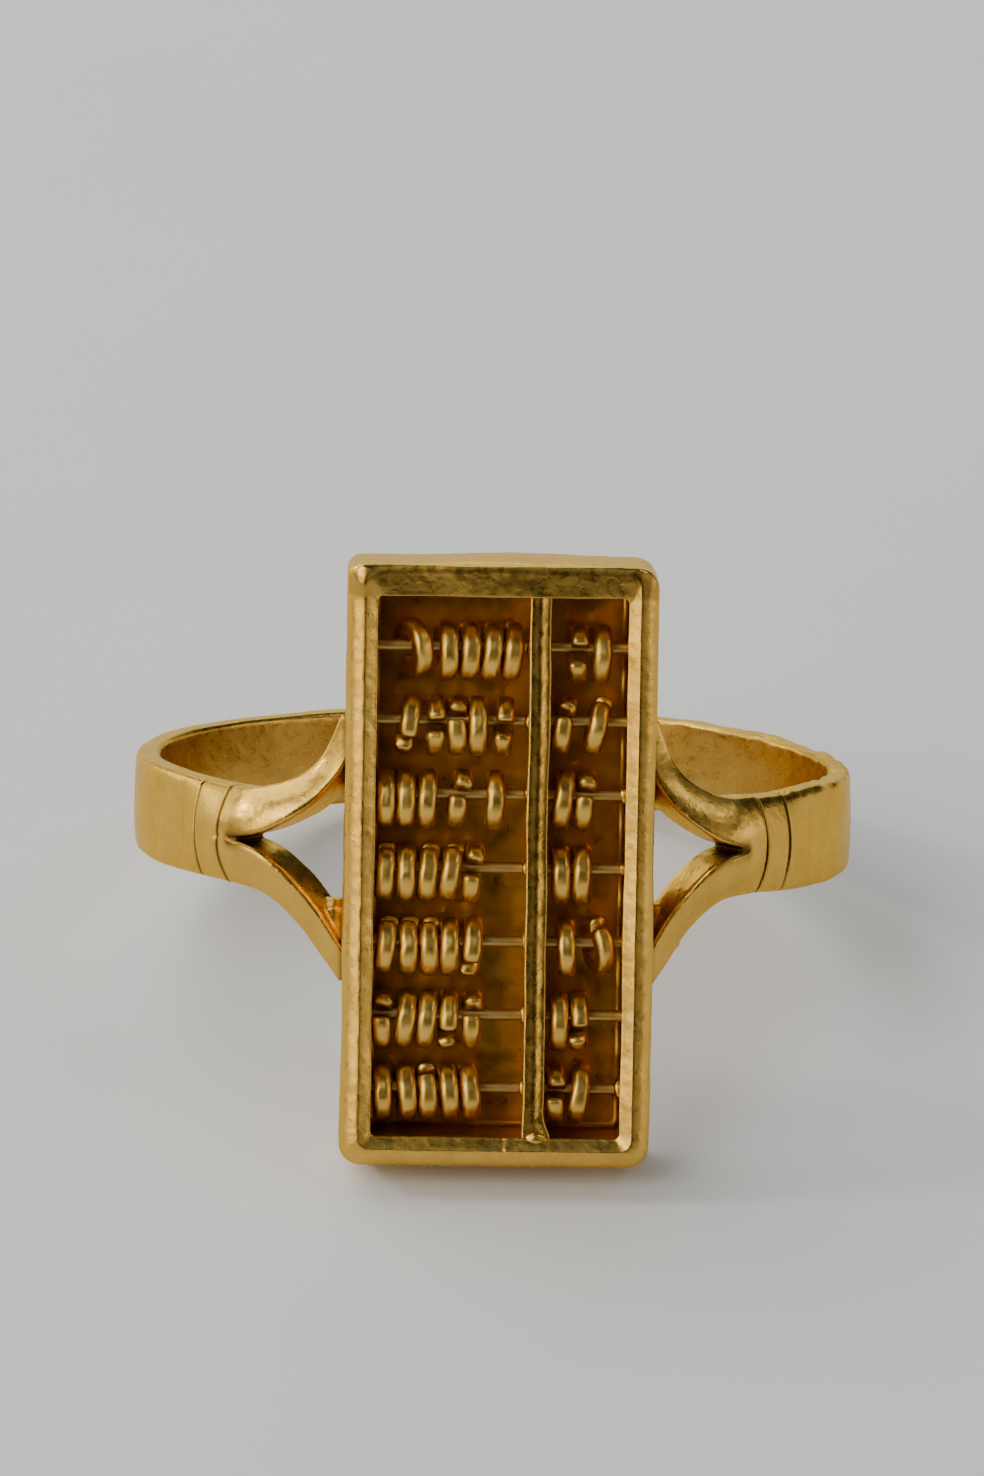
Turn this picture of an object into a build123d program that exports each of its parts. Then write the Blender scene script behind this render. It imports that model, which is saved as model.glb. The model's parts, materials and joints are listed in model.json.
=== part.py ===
"""Abacus ring: a tray of seven rods with sliding wire beads, on a hoop with forked shoulders.

Everything is drawn upright first, with the finger hole along Z and the head at -Y, centred on the
hoop's axis. The finished ring is then leaned back until it lies as it would by itself, on the
head's lower back edge and on the lower edge of the band behind it.
"""
from build123d import *
from collections import namedtuple
from math import asin, atan2, cos, degrees, hypot, radians, sin, tan
import os

# Hoop, in millimetres. Its angles are in degrees from the front, where the head sits.
finger_radius = 9.68
band_height = 2.8
band_wall = 0.7
band_crown = 0.05
band_edge_radius = 0.15
hoop_rise = 0.38
shoulder_start = 62.0
shoulder_wall = 0.76
shoulder_crown = 0.54
crotch_left = 44.5
crotch_right = 40.6

# Two engraved lines round each shoulder, as angles behind the crotch.
groove_steps_left = (1.9, 9.2)
groove_steps_right = (4.1, 10.6)
groove_width = 0.09
groove_depth = 0.07

# Branches of the forked shoulders. Their tips meet the sides of the head this far above and below the
# middle of the hoop. The swing bends their way outward and forward, so that they leave along the hoop.
branch_tip_height = 3.65
branch_behind_back = 0.3
branch_bury = 0.36
branch_edge_radius = 0.1
branch_swing_out = 0.5
branch_swing_forward = 2.0

# Head: an open tray.
head_width = 8.7
head_height = 17.0
head_depth = 2.9
head_back = 7.75
rim_width = 0.85
rim_round = 0.33
bevel_width = 0.4
bevel_depth = 0.24
top_bevel_width = 0.62
top_bow = 0.12
back_plate = 0.45
back_round = 0.3
corner_radius = 0.58
sharp_corner_radius = 0.36
tray_corner_radius = 0.15

# Divider bar, which parts the tray into a wide deck and a narrow one.
lower_deck_width = 4.28
divider_width = 0.56
divider_drop = 0.22
divider_round = 0.12
divider_seat = 0.06

# Rods.
rod_rows = 7
rod_diameter = 0.33
rod_pitch = 2.09
rod_depth = 1.2
rods_drop = 0.12
rod_seat = 0.45
rod_clearance = 0.02
solder_height = 0.12
solder_radius = 0.3

# Beads: open rings of half round wire.
bead_outer = 1.62
bead_bore = 0.78
bead_width = 0.46
bead_corner = 0.05
bead_split = 0.28
bead_gap = 0.11
bead_wall_gap = 0.05
bead_hang_clearance = 0.03

# How a branch runs from the crotch, at 0, to the side of the head, at 1. It starts just inside the
# shoulder. Run and rises are shares of the way there, width is a share of half the band's height, the
# walls are shares of the shoulder's full thickness, and twist is in degrees.
Section = namedtuple("Section", "run upper_rise lower_rise width gap_wall edge_wall twist")
branch_sections = (
    Section(-0.09, 0.00, 0.00, 0.92, 0.94, 0.56, 0),
    Section(0.22, 0.04, 0.06, 0.93, 0.95, 0.62, 3),
    Section(0.45, 0.13, 0.23, 0.81, 0.92, 0.66, 10),
    Section(0.66, 0.27, 0.48, 0.69, 0.86, 0.70, 18),
    Section(0.84, 0.51, 0.78, 0.60, 0.80, 0.74, 24),
    Section(1.00, 0.93, 1.03, 0.56, 0.76, 0.74, 28),
)
sections_between = 2

# The beads as the photograph shows them, row by row from the top. Place is a share of the deck's
# width, tilt and yaw are in degrees (the top or the front leans right), split is the angle of the
# wire's gap below the front, and opening is its size as a share of the usual one.
Bead = namedtuple("Bead", "place tilt yaw split opening")
five_beads = (
    (Bead(0.33, -8, 27, 150, 1.0), Bead(0.53, 0, 8, 170, 1.0), Bead(0.67, 3, 6, 200, 1.0),
     Bead(0.80, 6, 3, 160, 1.0), Bead(0.92, 6, 4, 185, 1.0)),
    (Bead(0.21, 10, 0, 34, 1.0), Bead(0.39, 0, 0, -7, 1.2), Bead(0.53, -1, 0, -34, 1.0),
     Bead(0.66, 0, 0, 175, 1.0), Bead(0.84, 3, 0, -2, 1.3)),
    (Bead(0.07, 0, 0, 165, 1.0), Bead(0.20, 0, 0, 190, 1.0), Bead(0.33, 2, 0, 155, 1.0),
     Bead(0.55, 10, 0, -25, 1.1), Bead(0.79, 2, 0, 180, 1.0)),
    (Bead(0.06, 3, 0, -80, 1.0), Bead(0.19, 2, 0, 170, 1.0), Bead(0.32, 5, 0, -82, 1.0),
     Bead(0.46, 9, 0, -84, 1.0), Bead(0.65, 6, 0, -20, 1.6)),
    (Bead(0.06, 6, 0, -80, 1.0), Bead(0.20, 1, 0, -84, 1.0), Bead(0.34, 0, 0, -82, 1.0),
     Bead(0.48, 0, 0, 165, 1.0), Bead(0.60, 4, 0, 43, 1.2)),
    (Bead(0.07, 0, 0, -29, 1.2), Bead(0.22, 6, 0, 170, 1.0), Bead(0.35, 5, 0, 190, 1.0),
     Bead(0.48, 2, 0, 31, 1.2), Bead(0.66, 0, 0, -35, 1.2)),
    (Bead(0.08, -2, 0, 160, 1.0), Bead(0.21, -4, 5, 180, 1.0), Bead(0.34, -3, 5, -65, 1.2),
     Bead(0.47, -5, 5, 170, 1.0), Bead(0.59, -5, 6, 195, 1.0)),
)
two_beads = (
    (Bead(0.37, 0, 0, -6, 1.6), Bead(0.68, 2, 0, 170, 1.0)),
    (Bead(0.17, 9, 0, -39, 1.0), Bead(0.63, 13, 0, -78, 1.0)),
    (Bead(0.20, 8, 0, 165, 1.0), Bead(0.48, 4, 0, -31, 1.1)),
    (Bead(0.19, -1, 0, 150, 1.0), Bead(0.44, 1, 0, 200, 1.0)),
    (Bead(0.28, -2, 0, 175, 1.0), Bead(0.68, -8, 20, -60, 1.0)),
    (Bead(0.20, 0, 0, 180, 1.0), Bead(0.46, 0, 0, 18, 1.2)),
    (Bead(0.17, 0, 0, -15, 1.2), Bead(0.47, 7, 0, 165, 1.0)),
)

# Places that follow from the sizes above.
open_width = head_width - 2 * rim_width
open_height = head_height - 2 * rim_width
head_front = head_back + head_depth
floor_place = head_back + back_plate
divider_left = lower_deck_width - open_width / 2
divider_right = divider_left + divider_width
rod_place = head_front - rod_depth
crotch_wall = shoulder_wall + shoulder_crown

Deck = namedtuple("Deck", "left right")
five_deck = Deck(-open_width / 2, divider_left - solder_height)
two_deck = Deck(divider_right, open_width / 2)


def rod_height(row):
    """Height of a rod, counted from 0 at the top."""
    return (rod_rows - 1) / 2 * rod_pitch - row * rod_pitch - rods_drop


def radial_plane(angle):
    """The upright plane through the hoop's axis at an angle to the right of the front."""
    outward = (sin(radians(angle)), -cos(radians(angle)), 0)
    across = (-cos(radians(angle)), -sin(radians(angle)), 0)
    return Plane(origin=(0, 0, hoop_rise), x_dir=outward, z_dir=across)


def ring_section(wall, crown):
    """Section of the band: flat inside, slightly domed outside, with soft edges."""
    edge = finger_radius + wall
    half = band_height / 2
    outline = Curve() + [
        Line((finger_radius, -half), (edge, -half)),
        ThreePointArc((edge, -half), (edge + crown, 0), (edge, half)),
        Line((edge, half), (finger_radius, half)),
        Line((finger_radius, half), (finger_radius, -half)),
    ]
    return fillet(make_face(outline).vertices(), band_edge_radius)


def band():
    """The plain part of the hoop, round the back from shoulder to shoulder."""
    section = radial_plane(shoulder_start) * ring_section(band_wall, band_crown)
    return revolve(section, Axis.Z, revolution_arc=360 - 2 * shoulder_start)


def shoulder(crotch):
    """The right shoulder, which grows thicker and rounder from the band to the crotch."""
    steps = (0.0, 0.35, 0.7, 1.0)
    sections = []
    for step in steps:
        angle = shoulder_start + step * (crotch - shoulder_start)
        wall = band_wall + step * (shoulder_wall - band_wall)
        crown = band_crown + step * (shoulder_crown - band_crown)
        sections.append(radial_plane(angle) * ring_section(wall, crown))
    return loft(sections)


def groove(crotch, step):
    """A thin strip that cuts one engraved line into the outside of the right shoulder."""
    angle = crotch + step
    share = (shoulder_start - angle) / (shoulder_start - crotch)
    edge = finger_radius + band_wall + share * (shoulder_wall - band_wall) - groove_depth
    crest = edge + band_crown + share * (shoulder_crown - band_crown)
    half = band_height / 2
    outline = Curve() + [
        ThreePointArc((edge, -half), (crest, 0), (edge, half)),
        Line((edge, half), (crest + crotch_wall, half)),
        Line((crest + crotch_wall, half), (crest + crotch_wall, -half)),
        Line((crest + crotch_wall, -half), (edge, -half)),
    ]
    strip = radial_plane(angle) * make_face(outline)
    return extrude(strip, amount=groove_width / 2, both=True)


def branch_section(width, gap_wall, edge_wall):
    """Section of a branch: a sawn face at the bottom, a domed outside at the right."""
    inner = -gap_wall / 2
    half = width / 2
    bulge = (gap_wall - edge_wall) / 4
    middle = (inner + (gap_wall + edge_wall) / 2 + bulge, 0)
    outline = Curve() + [
        Line((inner, -half), (inner + gap_wall, -half)),
        ThreePointArc((inner + gap_wall, -half), middle, (inner + edge_wall, half)),
        Line((inner + edge_wall, half), (inner, half)),
        Line((inner, half), (inner, -half)),
    ]
    return fillet(make_face(outline).vertices(), branch_edge_radius)


def smooth_sections():
    """The rows of the table, with more rows between them on a smooth curve through them."""
    last = len(branch_sections) - 1
    found = []
    for step in range(last * (sections_between + 1) + 1):
        index = min(step // (sections_between + 1), last - 1)
        share = step / (sections_between + 1) - index
        near = [branch_sections[min(max(index + shift, 0), last)] for shift in (-1, 0, 1, 2)]
        values = []
        for before, one, two, after in zip(*near):
            pull = (2 * before - 5 * one + 4 * two - after) * share
            bend = (3 * one - before - 3 * two + after) * share * share
            values.append(one + share * (two - before + pull + bend) / 2)
        found.append(Section(*values))
    return found


def branch(crotch, rise_name):
    """A branch of the right shoulder, from the crotch up to the side of the head, for a hoop at 0."""
    outward = Vector(sin(radians(crotch)), -cos(radians(crotch)), 0)
    start = outward * (finger_radius + crotch_wall / 2) + Vector(0, 0, band_height / 4)
    end_depth = head_back + branch_behind_back
    end = Vector(head_width / 2 - branch_bury, -end_depth, branch_tip_height)
    along = end - start
    rows = smooth_sections()
    points = []
    for row in rows:
        swing = row.run * (1 - row.run) ** 2
        sideways = along.X * row.run + branch_swing_out * swing
        forward = along.Y * row.run - branch_swing_forward * swing
        points.append(start + Vector(sideways, forward, along.Z * getattr(row, rise_name)))
    faces = []
    for index, row in enumerate(rows):
        before = points[max(index - 1, 0)]
        after = points[min(index + 1, len(points) - 1)]
        way = (after - before).normalized()
        lean = outward * (1 - row.run) + Vector(0, -1, 0) * row.run
        out = (lean - way * lean.dot(way)).normalized().rotate(Axis((0, 0, 0), way), row.twist)
        face = branch_section(
            row.width * band_height / 2, row.gap_wall * crotch_wall, row.edge_wall * crotch_wall
        )
        faces.append(Plane(origin=points[index], x_dir=out, z_dir=way) * face)
    return loft(faces, ruled=True)


def fork(crotch, groove_steps):
    """The right shoulder with its grooves and its two branches."""
    side = shoulder(crotch)
    for step in groove_steps:
        side -= groove(crotch, step)
    upper = branch(crotch, "upper_rise")
    lower = mirror(branch(crotch, "lower_rise"), Plane.XY)
    return side + Pos(0, 0, hoop_rise) * upper + Pos(0, 0, hoop_rise) * lower


def front_plane(place):
    """The plane parallel to the head's front, this far in front of the hoop's axis."""
    return Plane(origin=(0, -place, 0), x_dir=(1, 0, 0), z_dir=(0, -1, 0))


def head_outline():
    """The head from the front, with its bowed top and its one sharper corner at the upper left."""
    side, top = head_width / 2, head_height / 2
    outline = Curve() + [
        Polyline((-side, top), (-side, -top), (side, -top), (side, top)),
        ThreePointArc((side, top), (0, top + top_bow), (-side, top)),
    ]
    face = make_face(outline)
    sharp_first = face.vertices().sort_by_distance((-side, top))
    face = fillet(sharp_first[1:], corner_radius)
    return fillet(face.vertices().sort_by_distance((-side, top))[:1], sharp_corner_radius)


def tray():
    """The open head: back plate, walls, rounded rim and inner bevel, which is wider at the top."""
    block = extrude(front_plane(head_back) * head_outline(), amount=head_depth)
    block = fillet(block.faces().sort_by(Axis.Y)[0].edges(), rim_round)
    block = fillet(block.faces().sort_by(Axis.Y)[-1].edges(), back_round)
    hollow_depth = head_depth - back_plate
    mouth = RectangleRounded(open_width, open_height, tray_corner_radius)
    hollow = extrude(front_plane(floor_place) * mouth, amount=hollow_depth)
    flare_height = open_height + bevel_width + top_bevel_width
    flare = RectangleRounded(
        open_width + 2 * bevel_width, flare_height, tray_corner_radius + bevel_width
    )
    flare = Pos(0, (top_bevel_width - bevel_width) / 2) * flare
    bevel = loft([front_plane(head_front - bevel_depth) * mouth, front_plane(head_front) * flare])
    return block - hollow - bevel


def divider():
    """The bar across the tray, with a solder collar round each rod on its wide side."""
    depth = head_depth - back_plate / 2 - divider_drop
    place = head_front - divider_drop - depth / 2
    middle = (divider_left + divider_right) / 2
    height = open_height + 2 * divider_seat
    bar = Pos(middle, -place, 0) * Box(divider_width, depth, height)
    front = bar.faces().sort_by(Axis.Y)[0]
    bar = fillet(front.edges().filter_by(Axis.Z), divider_round)
    for row in range(rod_rows):
        collar = Cone(solder_radius, rod_diameter / 2 + rod_clearance, 2 * solder_height)
        bar += Pos(divider_left, -rod_place, rod_height(row)) * Rot(Y=-90) * collar
    return bar


def rod_holes():
    """The holes that the rods sit in: blind in the side walls, right through the divider."""
    length = open_width + 2 * (rod_seat + rod_clearance)
    hole = Rot(Y=90) * Cylinder(rod_diameter / 2 + rod_clearance, length)
    return [Pos(0, -rod_place, rod_height(row)) * hole for row in range(rod_rows)]


def ring_body():
    """Everything that is soldered together."""
    body = tray() + divider()
    body += band()
    body += fork(crotch_right, groove_steps_right)
    body += mirror(fork(crotch_left, groove_steps_left), Plane.YZ)
    for hole in rod_holes():
        body -= hole
    return body


def rod(row):
    """One straight wire, which ends inside the side walls."""
    wire = Rot(Y=90) * Cylinder(rod_diameter / 2, open_width + 2 * rod_seat)
    return Pos(0, -rod_place, rod_height(row)) * wire


def lean_angle(tilt, yaw):
    """Angle between a bead's own axis and its rod, in radians."""
    return atan2(hypot(tan(radians(tilt)), tan(radians(yaw))), 1)


def half_reach(bead):
    """How far a leaning bead reaches to each side of its middle, along the rod."""
    lean = lean_angle(bead.tilt, bead.yaw)
    return bead_width / 2 * cos(lean) + bead_outer / 2 * sin(lean)


def spacing(one, two):
    """The least distance along the rod between the middles of two beads in one node."""
    thickness = bead_width / 2 / cos(lean_angle(one.tilt, one.yaw))
    thickness += bead_width / 2 / cos(lean_angle(two.tilt, two.yaw))
    tilt = tan(radians(two.tilt)) - tan(radians(one.tilt))
    yaw = tan(radians(two.yaw)) - tan(radians(one.yaw))
    return thickness + bead_outer / 2 * hypot(tilt, yaw) + bead_gap


def places(beads, deck, width):
    """Where the beads of one group sit on their rod, kept clear of the walls and each other."""
    found = [deck.left + bead.place * width for bead in beads]
    found[0] = max(found[0], deck.left + half_reach(beads[0]) + bead_wall_gap)
    for index in range(1, len(beads)):
        found[index] = max(found[index], found[index - 1] + spacing(beads[index - 1], beads[index]))
    found[-1] = min(found[-1], deck.right - half_reach(beads[-1]) - bead_wall_gap)
    for index in range(len(beads) - 2, -1, -1):
        found[index] = min(found[index], found[index + 1] - spacing(beads[index], beads[index + 1]))
    return found


def travel(beads, deck, width):
    """How far one group can slide along its rod, to the left and to the right of its rest."""
    found = places(beads, deck, width)
    left = min(place - half_reach(bead) for place, bead in zip(found, beads)) - deck.left
    right = deck.right - max(place + half_reach(bead) for place, bead in zip(found, beads))
    return left, right


def bead_ring(bead):
    """One open ring of half round wire round the X axis, with its gap turned to its angle."""
    inner = bead_bore / 2
    outer = bead_outer / 2
    half = bead_width / 2
    outline = Curve() + [
        Polyline(
            (-half, outer - half),
            (-half, inner + bead_corner),
            (bead_corner - half, inner),
            (half - bead_corner, inner),
            (half, inner + bead_corner),
            (half, outer - half),
        ),
        ThreePointArc((half, outer - half), (0, outer), (-half, outer - half)),
    ]
    gap = degrees(bead_split * bead.opening / ((inner + outer) / 2))
    wire = revolve(Plane.XZ * make_face(outline), Axis.X, revolution_arc=360 - gap)
    middle_of_gap = wire_gap_angle(gap)
    return Rot(X=180 + bead.split - middle_of_gap) * wire


def wire_gap_angle(gap):
    """Where the gap of a freshly turned ring lies, in degrees from +Y towards +Z."""
    start_of_wire = 90
    return start_of_wire - gap / 2


def bead_group(beads, deck, width, row):
    """The beads that share one rod and one deck, as loose solids."""
    solids = []
    for bead, place in zip(beads, places(beads, deck, width)):
        lean = lean_angle(bead.tilt, bead.yaw)
        free_bore = bead_bore / 2 * cos(lean) - bead_width / 2 * sin(lean)
        hang = free_bore - rod_diameter / 2 - bead_hang_clearance
        down = Vector(0, sin(radians(ring_lean)), -cos(radians(ring_lean))) * hang
        middle = Vector(place, -rod_place, rod_height(row)) + down
        solids.append(Pos(middle) * Rot(Z=bead.yaw) * Rot(Y=bead.tilt) * bead_ring(bead))
    return Compound([solid.solid() for solid in solids])


def resting_lean():
    """Angle at which the head's lower back edge and the band's lower edge touch one floor."""
    head_edge = (-(head_back + back_round), -(head_height / 2 - back_round))
    band_back = finger_radius + band_wall - band_edge_radius
    band_edge = (band_back, hoop_rise - band_height / 2 + band_edge_radius)
    run = band_edge[0] - head_edge[0]
    rise = band_edge[1] - head_edge[1]
    return degrees(atan2(rise, run) + asin((back_round - band_edge_radius) / hypot(run, rise)))


ring_lean = resting_lean()

nodes = {"ring_body": ring_body()}
for row in range(rod_rows):
    nodes[f"rod_{row + 1}"] = rod(row)
for row, beads in enumerate(five_beads):
    nodes[f"five_beads_{row + 1}"] = bead_group(beads, five_deck, lower_deck_width, row)
for row, beads in enumerate(two_beads):
    nodes[f"two_beads_{row + 1}"] = bead_group(beads, two_deck, two_deck.right - two_deck.left, row)

# Lean the ring back, and put the origin at the middle of the bottom of its box.
leaning = {name: Rot(X=-ring_lean) * shape for name, shape in nodes.items()}
box = leaning["ring_body"].bounding_box()
home = Pos(-(box.min.X + box.max.X) / 2, -(box.min.Y + box.max.Y) / 2, -box.min.Z)

os.makedirs("parts", exist_ok=True)
for name, shape in leaning.items():
    export_step(home * shape, f"parts/{name}.step")

print(f"lean {ring_lean:.2f} degrees, upright origin at {home.position.Y:.3f}, {home.position.Z:.3f}")
for name, groups, deck, width in (
    ("five_beads", five_beads, five_deck, lower_deck_width),
    ("two_beads", two_beads, two_deck, two_deck.right - two_deck.left),
):
    for row, beads in enumerate(groups):
        left, right = travel(beads, deck, width)
        print(f"{name}_{row + 1} slides {-left:.3f} to {right:.3f}")
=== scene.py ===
"""Looks of the abacus ring: hand-worked gold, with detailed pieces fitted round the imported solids.

Pieces are drawn upright in millimetres, with the hoop's axis along Z, the head at -Y and Z counted
from the middle of the head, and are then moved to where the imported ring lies.
"""
import bmesh
import bpy
import json
from collections import namedtuple
from math import atan2, cos, pi, radians, sin
from mathutils import Matrix, Vector, noise
import numpy as np


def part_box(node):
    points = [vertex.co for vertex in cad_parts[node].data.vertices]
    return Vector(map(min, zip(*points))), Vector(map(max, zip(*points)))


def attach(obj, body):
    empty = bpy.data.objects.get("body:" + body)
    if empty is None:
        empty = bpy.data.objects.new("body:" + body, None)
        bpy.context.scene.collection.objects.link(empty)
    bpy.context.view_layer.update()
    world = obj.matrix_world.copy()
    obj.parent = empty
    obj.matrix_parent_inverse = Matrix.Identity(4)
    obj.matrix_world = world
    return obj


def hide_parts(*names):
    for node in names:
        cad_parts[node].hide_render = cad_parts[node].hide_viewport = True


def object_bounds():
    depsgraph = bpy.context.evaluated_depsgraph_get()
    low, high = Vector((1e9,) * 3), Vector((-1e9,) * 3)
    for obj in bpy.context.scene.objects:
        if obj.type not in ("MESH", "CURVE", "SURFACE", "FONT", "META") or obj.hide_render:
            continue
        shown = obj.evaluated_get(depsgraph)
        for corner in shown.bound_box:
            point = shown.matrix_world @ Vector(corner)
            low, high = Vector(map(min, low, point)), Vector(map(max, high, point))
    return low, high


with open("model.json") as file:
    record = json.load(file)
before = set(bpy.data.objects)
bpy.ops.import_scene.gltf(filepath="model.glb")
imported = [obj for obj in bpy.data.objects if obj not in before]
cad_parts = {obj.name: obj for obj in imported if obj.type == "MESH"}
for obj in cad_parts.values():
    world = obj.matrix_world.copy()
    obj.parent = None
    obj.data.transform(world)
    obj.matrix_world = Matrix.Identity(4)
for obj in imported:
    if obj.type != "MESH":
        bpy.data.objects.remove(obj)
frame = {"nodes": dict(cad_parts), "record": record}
cad_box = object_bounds()
cad_low, cad_high = np.array(cad_box)

# The hoop's place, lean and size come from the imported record.
hole = frame["record"]["mounts"][0]
hoop_centre = Vector(hole["pos_m"])
ring_lean = atan2(hole["axis"][1], hole["axis"][2])
finger_radius = hole["dims"]["r_mm"]
band_height = hole["dims"]["length_mm"]

# Hoop, in millimetres and degrees from the front.
hoop_rise = 0.38
band_wall = 0.7
band_crown = 0.05
band_edge_radius = 0.15
band_outer_ease = 1.3
shoulder_turn = 59.0
shoulder_wall = 0.76
shoulder_crown = 0.54
shoulder_growth = 0.7
crotch_left = 44.5
crotch_right = 40.6
groove_near_left = 1.9
groove_near_right = 4.1
groove_far_left = 9.2
groove_far_right = 10.6
groove_width = 0.1
groove_depth = 0.08
groove_zone = 1.0
groove_step = 0.1
hoop_step = 0.55

# The cut ends of the hoop and of the shoulders' roots narrow over a short lip. Each row is a share of
# the lip's turn and how far the outline draws in there. Behind its lip, a root has rings at its steps.
lip_turn = 0.25
lip_insets = ((0.0, 0.07), (0.4, 0.025), (0.8, 0.004))
root_steps = (0.9, 1.8)

# The hoop's right side is a little out of true, and its upper edge is dented there.
right_sag = 0.28
sag_start, sag_end = 5.5, 10.4
sag_curve = 1.3
dent_start = 3.5
dents_behind = -6.0
dent_size = 0.75
dent_depth = 0.11

# Branches.
branch_tip_height = 3.65
branch_behind_back = 0.3
branch_bury = 0.36
branch_swing = (0.5, -2.0)
branch_edge_radius = 0.1
branch_outer_ease = 1.6
branch_dome = 0.3
branch_steps = 10
melt_voxel = 0.045
melt_turns = 6

# Head. The rim's bevel is narrow at the sides and the bottom, and wide at the top.
head_width = 8.7
head_height = 17.0
head_depth = 2.9
head_back = 7.75
back_plate = 0.45
back_round = 0.3
tray_corner_radius = 0.15
corner_radii = (0.58, 0.6, 0.62, 0.36)
top_bow = 0.12
wall_ease = 0.05
rim_width = 0.85
rim_crest = 0.02
rim_burr = 0.035
bevel_curve = 1.08
bevel_width = 0.34
bevel_depth = 0.165
side_tilt = 24.0
side_round = 0.42
top_bevel_width = 0.63
top_bevel_depth = 0.1
top_tilt = 10.0
top_round = 0.1

# The head's skin is made of closed outlines. Those of the floor and the back shrink to a thin slit.
floor_slit = 0.05
floor_edge = 0.12
back_edge = 0.15
floor_steps = 22
wall_steps = 16
outline_steps = 100

# The head's marks of wear, on the layer just behind its front. The corner's spread is a squared length.
worn_layer = 0.6
corner_inset = 0.42
corner_spread = 0.12
corner_proud = 0.12
burr_place = 0.37
burr_width = 0.03
burr_length = 0.4
burr_proud = 0.06

# Divider, with a wider brow along its front and a foot that spreads to the right.
lower_deck_width = 4.28
divider_width = 0.56
divider_drop = 0.22
divider_ease = 0.03
divider_radii = (0.02, 0.02, 0.06, 0.06)
divider_brow = 0.22
divider_steps = 260
brow_depth = 0.26
brow_fade = 0.1
foot_height = 0.36
foot_flare = 0.2
wander_reach = 0.04
wander_length = 2.2
hollow_width = 0.15
hollow_depth = 0.045

# Lumps of solder, each as half its size along the rods, into the tray and upward.
web_half_size = (0.68, 0.4, 0.8)
web_out = 0.25
web_drop = 2.4
divider_lump = (0.14, 0.22, 0.25)
wall_lump = (0.16, 0.22, 0.24)
wall_lump_scales = {2: 1.0, 3: 0.8, 6: 1.2}
foot_lump = (0.34, 0.12, 0.24)
foot_lump_right = 0.12
foot_lump_drop = 0.1

# Rods and beads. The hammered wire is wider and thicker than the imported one, within the beads' gaps.
rod_rows = 7
bead_swell = 0.06
bead_proud = 0.03
bead_steps = 56
wire_edge_radius = 0.06
wire_round = 0.72
wire_end = 0.04
wire_end_shrink = 0.12
spring_mean = 0.03
spring_spread = 0.035

# Hammered surfaces, in layers of (millimetres across, millimetres deep).
hoop_waves = ((3.0, 0.05), (1.1, 0.016), (0.35, 0.004))
fork_waves = ((1.6, 0.045), (0.6, 0.012), (0.2, 0.003))
head_waves = ((2.4, 0.05), (0.8, 0.014), (0.28, 0.007))
divider_waves = ((0.9, 0.02), (0.3, 0.01))
lump_waves = ((0.25, 0.06),)
bead_waves = ((0.5, 0.03), (0.16, 0.012))

# Dirt and painted shade, from 0 to 1, and how wide or deep they lie, in millimetres or degrees. Seams,
# grooves and the joins to the head carry dirt. The tray's corners carry dirt and painted shade. The
# hoop's inside, the top's wide bevel and the divider's hollow carry painted shade. The crotch's slot is
# darkened almost to black.
inside_shade = 0.16
inside_layer = 0.1
seam_turn = 0.35
slot_darkening = 0.9
slot_height = 0.26
slot_start = 0.6
slot_turn = 7.0
slot_fade = 3.0
join_grime = 0.7
join_width = 0.1
corner_dirt_and_shade = 0.75
corner_reach = 0.17
tray_layer = 0.02
strip_shade = 0.3
strip_depth = 0.25
shade_fade = 0.08
hollow_shade = 0.28
hollow_shade_reach = 0.25

metre = 0.001
row_from_ring = (
    Matrix.Translation(hoop_centre)
    @ Matrix.Rotation(-ring_lean, 4, "X")
    @ Matrix.Scale(metre, 4)
    @ Matrix.Translation((0, 0, -hoop_rise))
)
ring_from_row = row_from_ring.inverted()
open_width = head_width - 2 * rim_width
open_height = head_height - 2 * rim_width
head_front = head_back + head_depth
tray_depth = head_depth - back_plate
crotch_wall = shoulder_wall + shoulder_crown


# Mesh tools


def skin(name, rings, cap=True, along_closed=False):
    """A mesh over rings of points: every ring is closed, and the end rings are capped."""
    count, around = rings.shape[:2]
    mesh = bpy.data.meshes.new(name)
    last = count if along_closed else count - 1
    i, j = np.meshgrid(np.arange(last), np.arange(around), indexing="ij")
    after, beside = (i + 1) % count, (j + 1) % around
    quads = np.stack(
        [i * around + j, i * around + beside, after * around + beside, after * around + j], axis=-1
    ).reshape(-1, 4)
    faces = [tuple(quad) for quad in quads.tolist()]
    if cap and not along_closed:
        faces.append(tuple(range(around))[::-1])
        faces.append(tuple(range((count - 1) * around, count * around)))
    mesh.from_pydata(rings.reshape(-1, 3).tolist(), [], faces)
    mesh.update()
    tidy_normals(mesh)
    piece = bpy.data.objects.new(name, mesh)
    bpy.context.scene.collection.objects.link(piece)
    return piece


def tidy_normals(mesh):
    """Turns every face outward."""
    work = bmesh.new()
    work.from_mesh(mesh)
    bmesh.ops.recalc_face_normals(work, faces=work.faces)
    work.to_mesh(mesh)
    work.free()


def coordinates(mesh):
    """The vertices of a mesh as an array."""
    flat = np.empty(len(mesh.vertices) * 3)
    mesh.vertices.foreach_get("co", flat)
    return flat.reshape(-1, 3)


def hammer(piece, layers, seed):
    """Moves the surface in and out by layers of noise: (millimetres across, millimetres deep)."""
    mesh = piece.data
    points = coordinates(mesh)
    out = np.array([vertex.normal for vertex in mesh.vertices])
    shift = np.zeros(len(points))
    for index, (across, deep) in enumerate(layers):
        offset = Vector((seed * 7.3, index * 11.9, seed * 3.1 + index))
        shift += deep * np.array([noise.noise(Vector(p) / across + offset) for p in points.tolist()])
    points += out * shift[:, None]
    mesh.vertices.foreach_set("co", points.ravel())
    mesh.update()


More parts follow.
